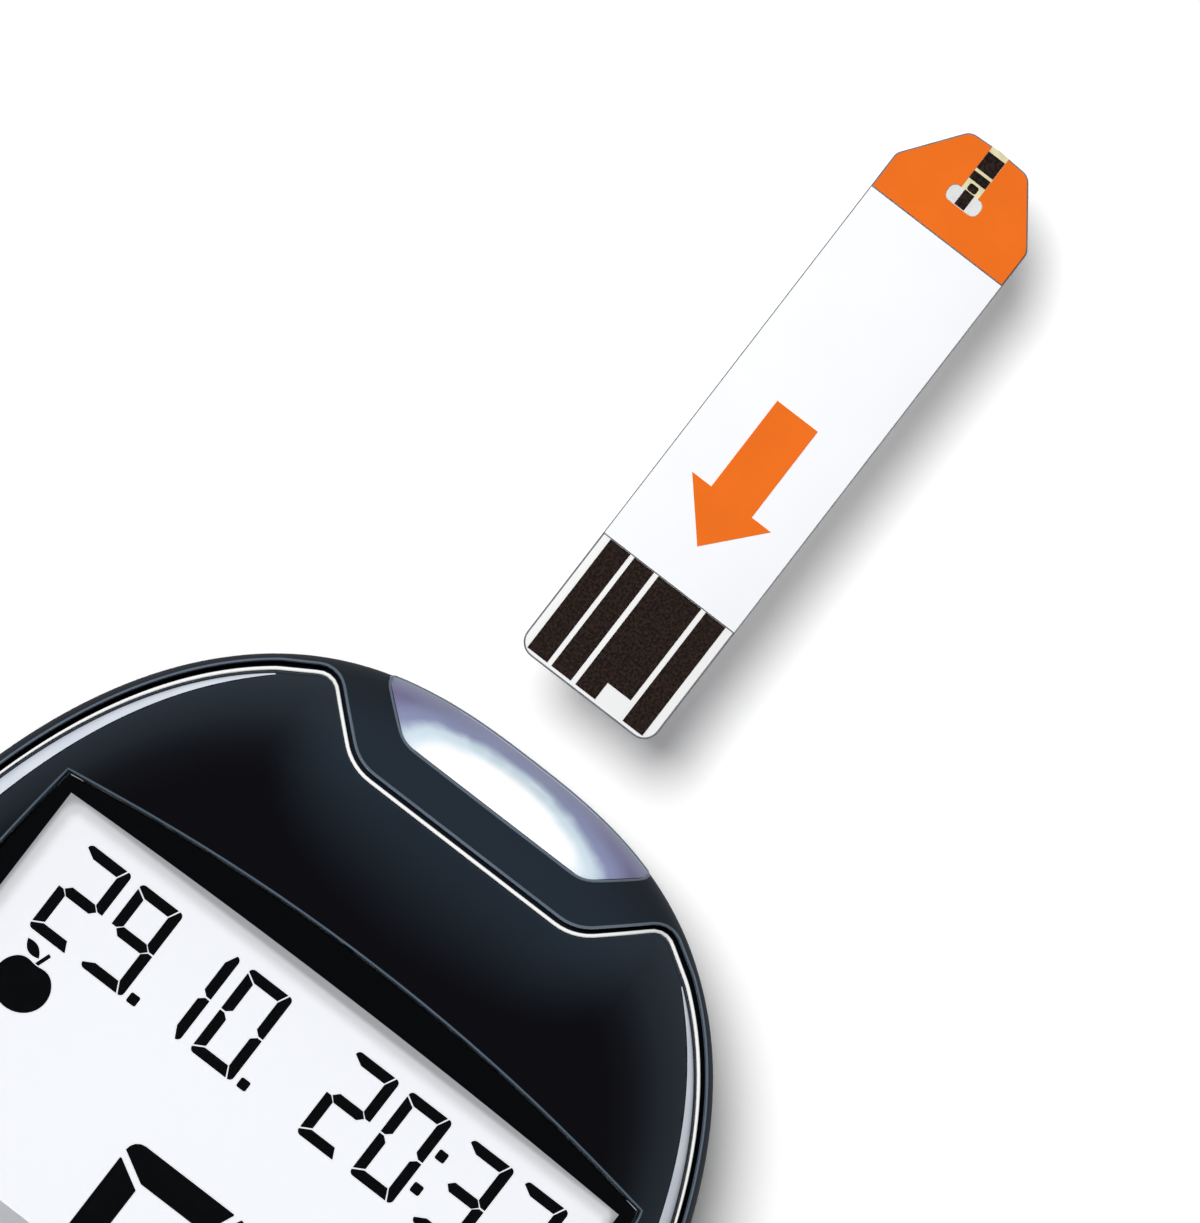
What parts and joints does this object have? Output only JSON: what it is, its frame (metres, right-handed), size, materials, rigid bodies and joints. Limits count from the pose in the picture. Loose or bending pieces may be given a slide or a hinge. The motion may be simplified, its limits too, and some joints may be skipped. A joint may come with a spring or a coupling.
{
  "type": "blood glucose meter",
  "caption": "Oval hand-held blood glucose meter with a domed black face, lit display, three keys, strip port, sliding battery door and a test strip in front of the port.",
  "frame": {"origin": "on the flat back, midway between the port end and the foot end of the meter", "axes": "+Z out of the flat back through the display, +Y along the meter to the strip port, +X to the right as the display is read"},
  "size_m": [0.0542, 0.1335, 0.0212],
  "materials": {
    "housing_slate": "dark slate, fine satin moulding",
    "panel_black": "polished black",
    "trim_bright": "bright polished plating",
    "inlay_silver": "fine-grained satin silver",
    "window_clear": "clear, polished",
    "mask_black": "printed black",
    "lcd_white": "lit white display",
    "lcd_ink": "dark display segments",
    "frame_dark": "moulded dark plastic",
    "light_guide": "white light guide",
    "elastomer": "layered elastomer",
    "board_green": "solder mask",
    "chip_black": "moulded package",
    "metal_can": "plated can",
    "capacitor_tan": "ceramic",
    "port_milk": "milky translucent, polished",
    "led_cream": "lens",
    "contact_gold": "gold-plated",
    "key_silver": "satin silver paint",
    "plunger_amber": "moulded",
    "cell_sleeve": "printed sleeve, no lettering",
    "spring_steel": "nickel-plated",
    "screw_steel": "zinc-plated",
    "strip_white": "white film",
    "strip_carbon": "printed carbon with fine grain",
    "strip_film": "white film, satin",
    "strip_orange": "printed orange",
    "strip_cream": "reagent layer"
  },
  "bodies": {
    "housing": {"rear_case": "housing_slate", "front_case": "housing_slate", "face_panel": "panel_black", "face_trim": "trim_bright", "side_inlay_left": "inlay_silver", "side_inlay_right": "inlay_silver", "display_window": "window_clear", "window_mask": "mask_black", "lcd_glass": "lcd_white", "lcd_digits": "lcd_ink", "lcd_frame": "frame_dark", "backlight_panel": "light_guide", "lcd_connector": "elastomer", "main_board": "board_green", "processor": "chip_black", "memory_chip": "chip_black", "quartz_crystal": "metal_can", "capacitors": "capacitor_tan", "buzzer": "chip_black", "port_window": "port_milk", "port_leds": "led_cream", "strip_connector": "frame_dark", "connector_springs": "contact_gold", "switch_housings": "frame_dark", "battery_left": "cell_sleeve", "battery_right": "cell_sleeve", "battery_springs": "spring_steel", "battery_plates": "spring_steel", "case_screws": "screw_steel"},
    "power_key": {"power_button": "key_silver", "power_plunger": "plunger_amber"},
    "left_key": {"left_button": "key_silver", "left_plunger": "plunger_amber"},
    "right_key": {"right_button": "key_silver", "right_plunger": "plunger_amber"},
    "door": {"battery_door": "housing_slate"},
    "test_strip": {"strip_base": "strip_white", "strip_tracks": "strip_carbon", "strip_cover": "strip_film", "strip_tip": "strip_orange", "strip_channel": "strip_cream", "strip_arrow": "strip_orange"}
  },
  "joints": [
    {"name": "power_button_press", "type": "slide", "parent": "housing", "child": "power_key", "axis": [0, 0, -1], "range_m": [0, 0.0006], "stiffness_N_per_m": 2400},
    {"name": "left_button_press", "type": "slide", "parent": "housing", "child": "left_key", "axis": [0, 0, -1], "range_m": [0, 0.0006], "stiffness_N_per_m": 2400},
    {"name": "right_button_press", "type": "slide", "parent": "housing", "child": "right_key", "axis": [0, 0, -1], "range_m": [0, 0.0006], "stiffness_N_per_m": 2400},
    {"name": "battery_door_slide", "type": "slide", "parent": "housing", "child": "door", "axis": [0, -1, 0], "range_m": [0, 0.01]},
    {"name": "strip_insert", "type": "slide", "parent": "housing", "child": "test_strip", "axis": [0, -1, 0], "range_m": [0, 0.0133]}
  ]
}
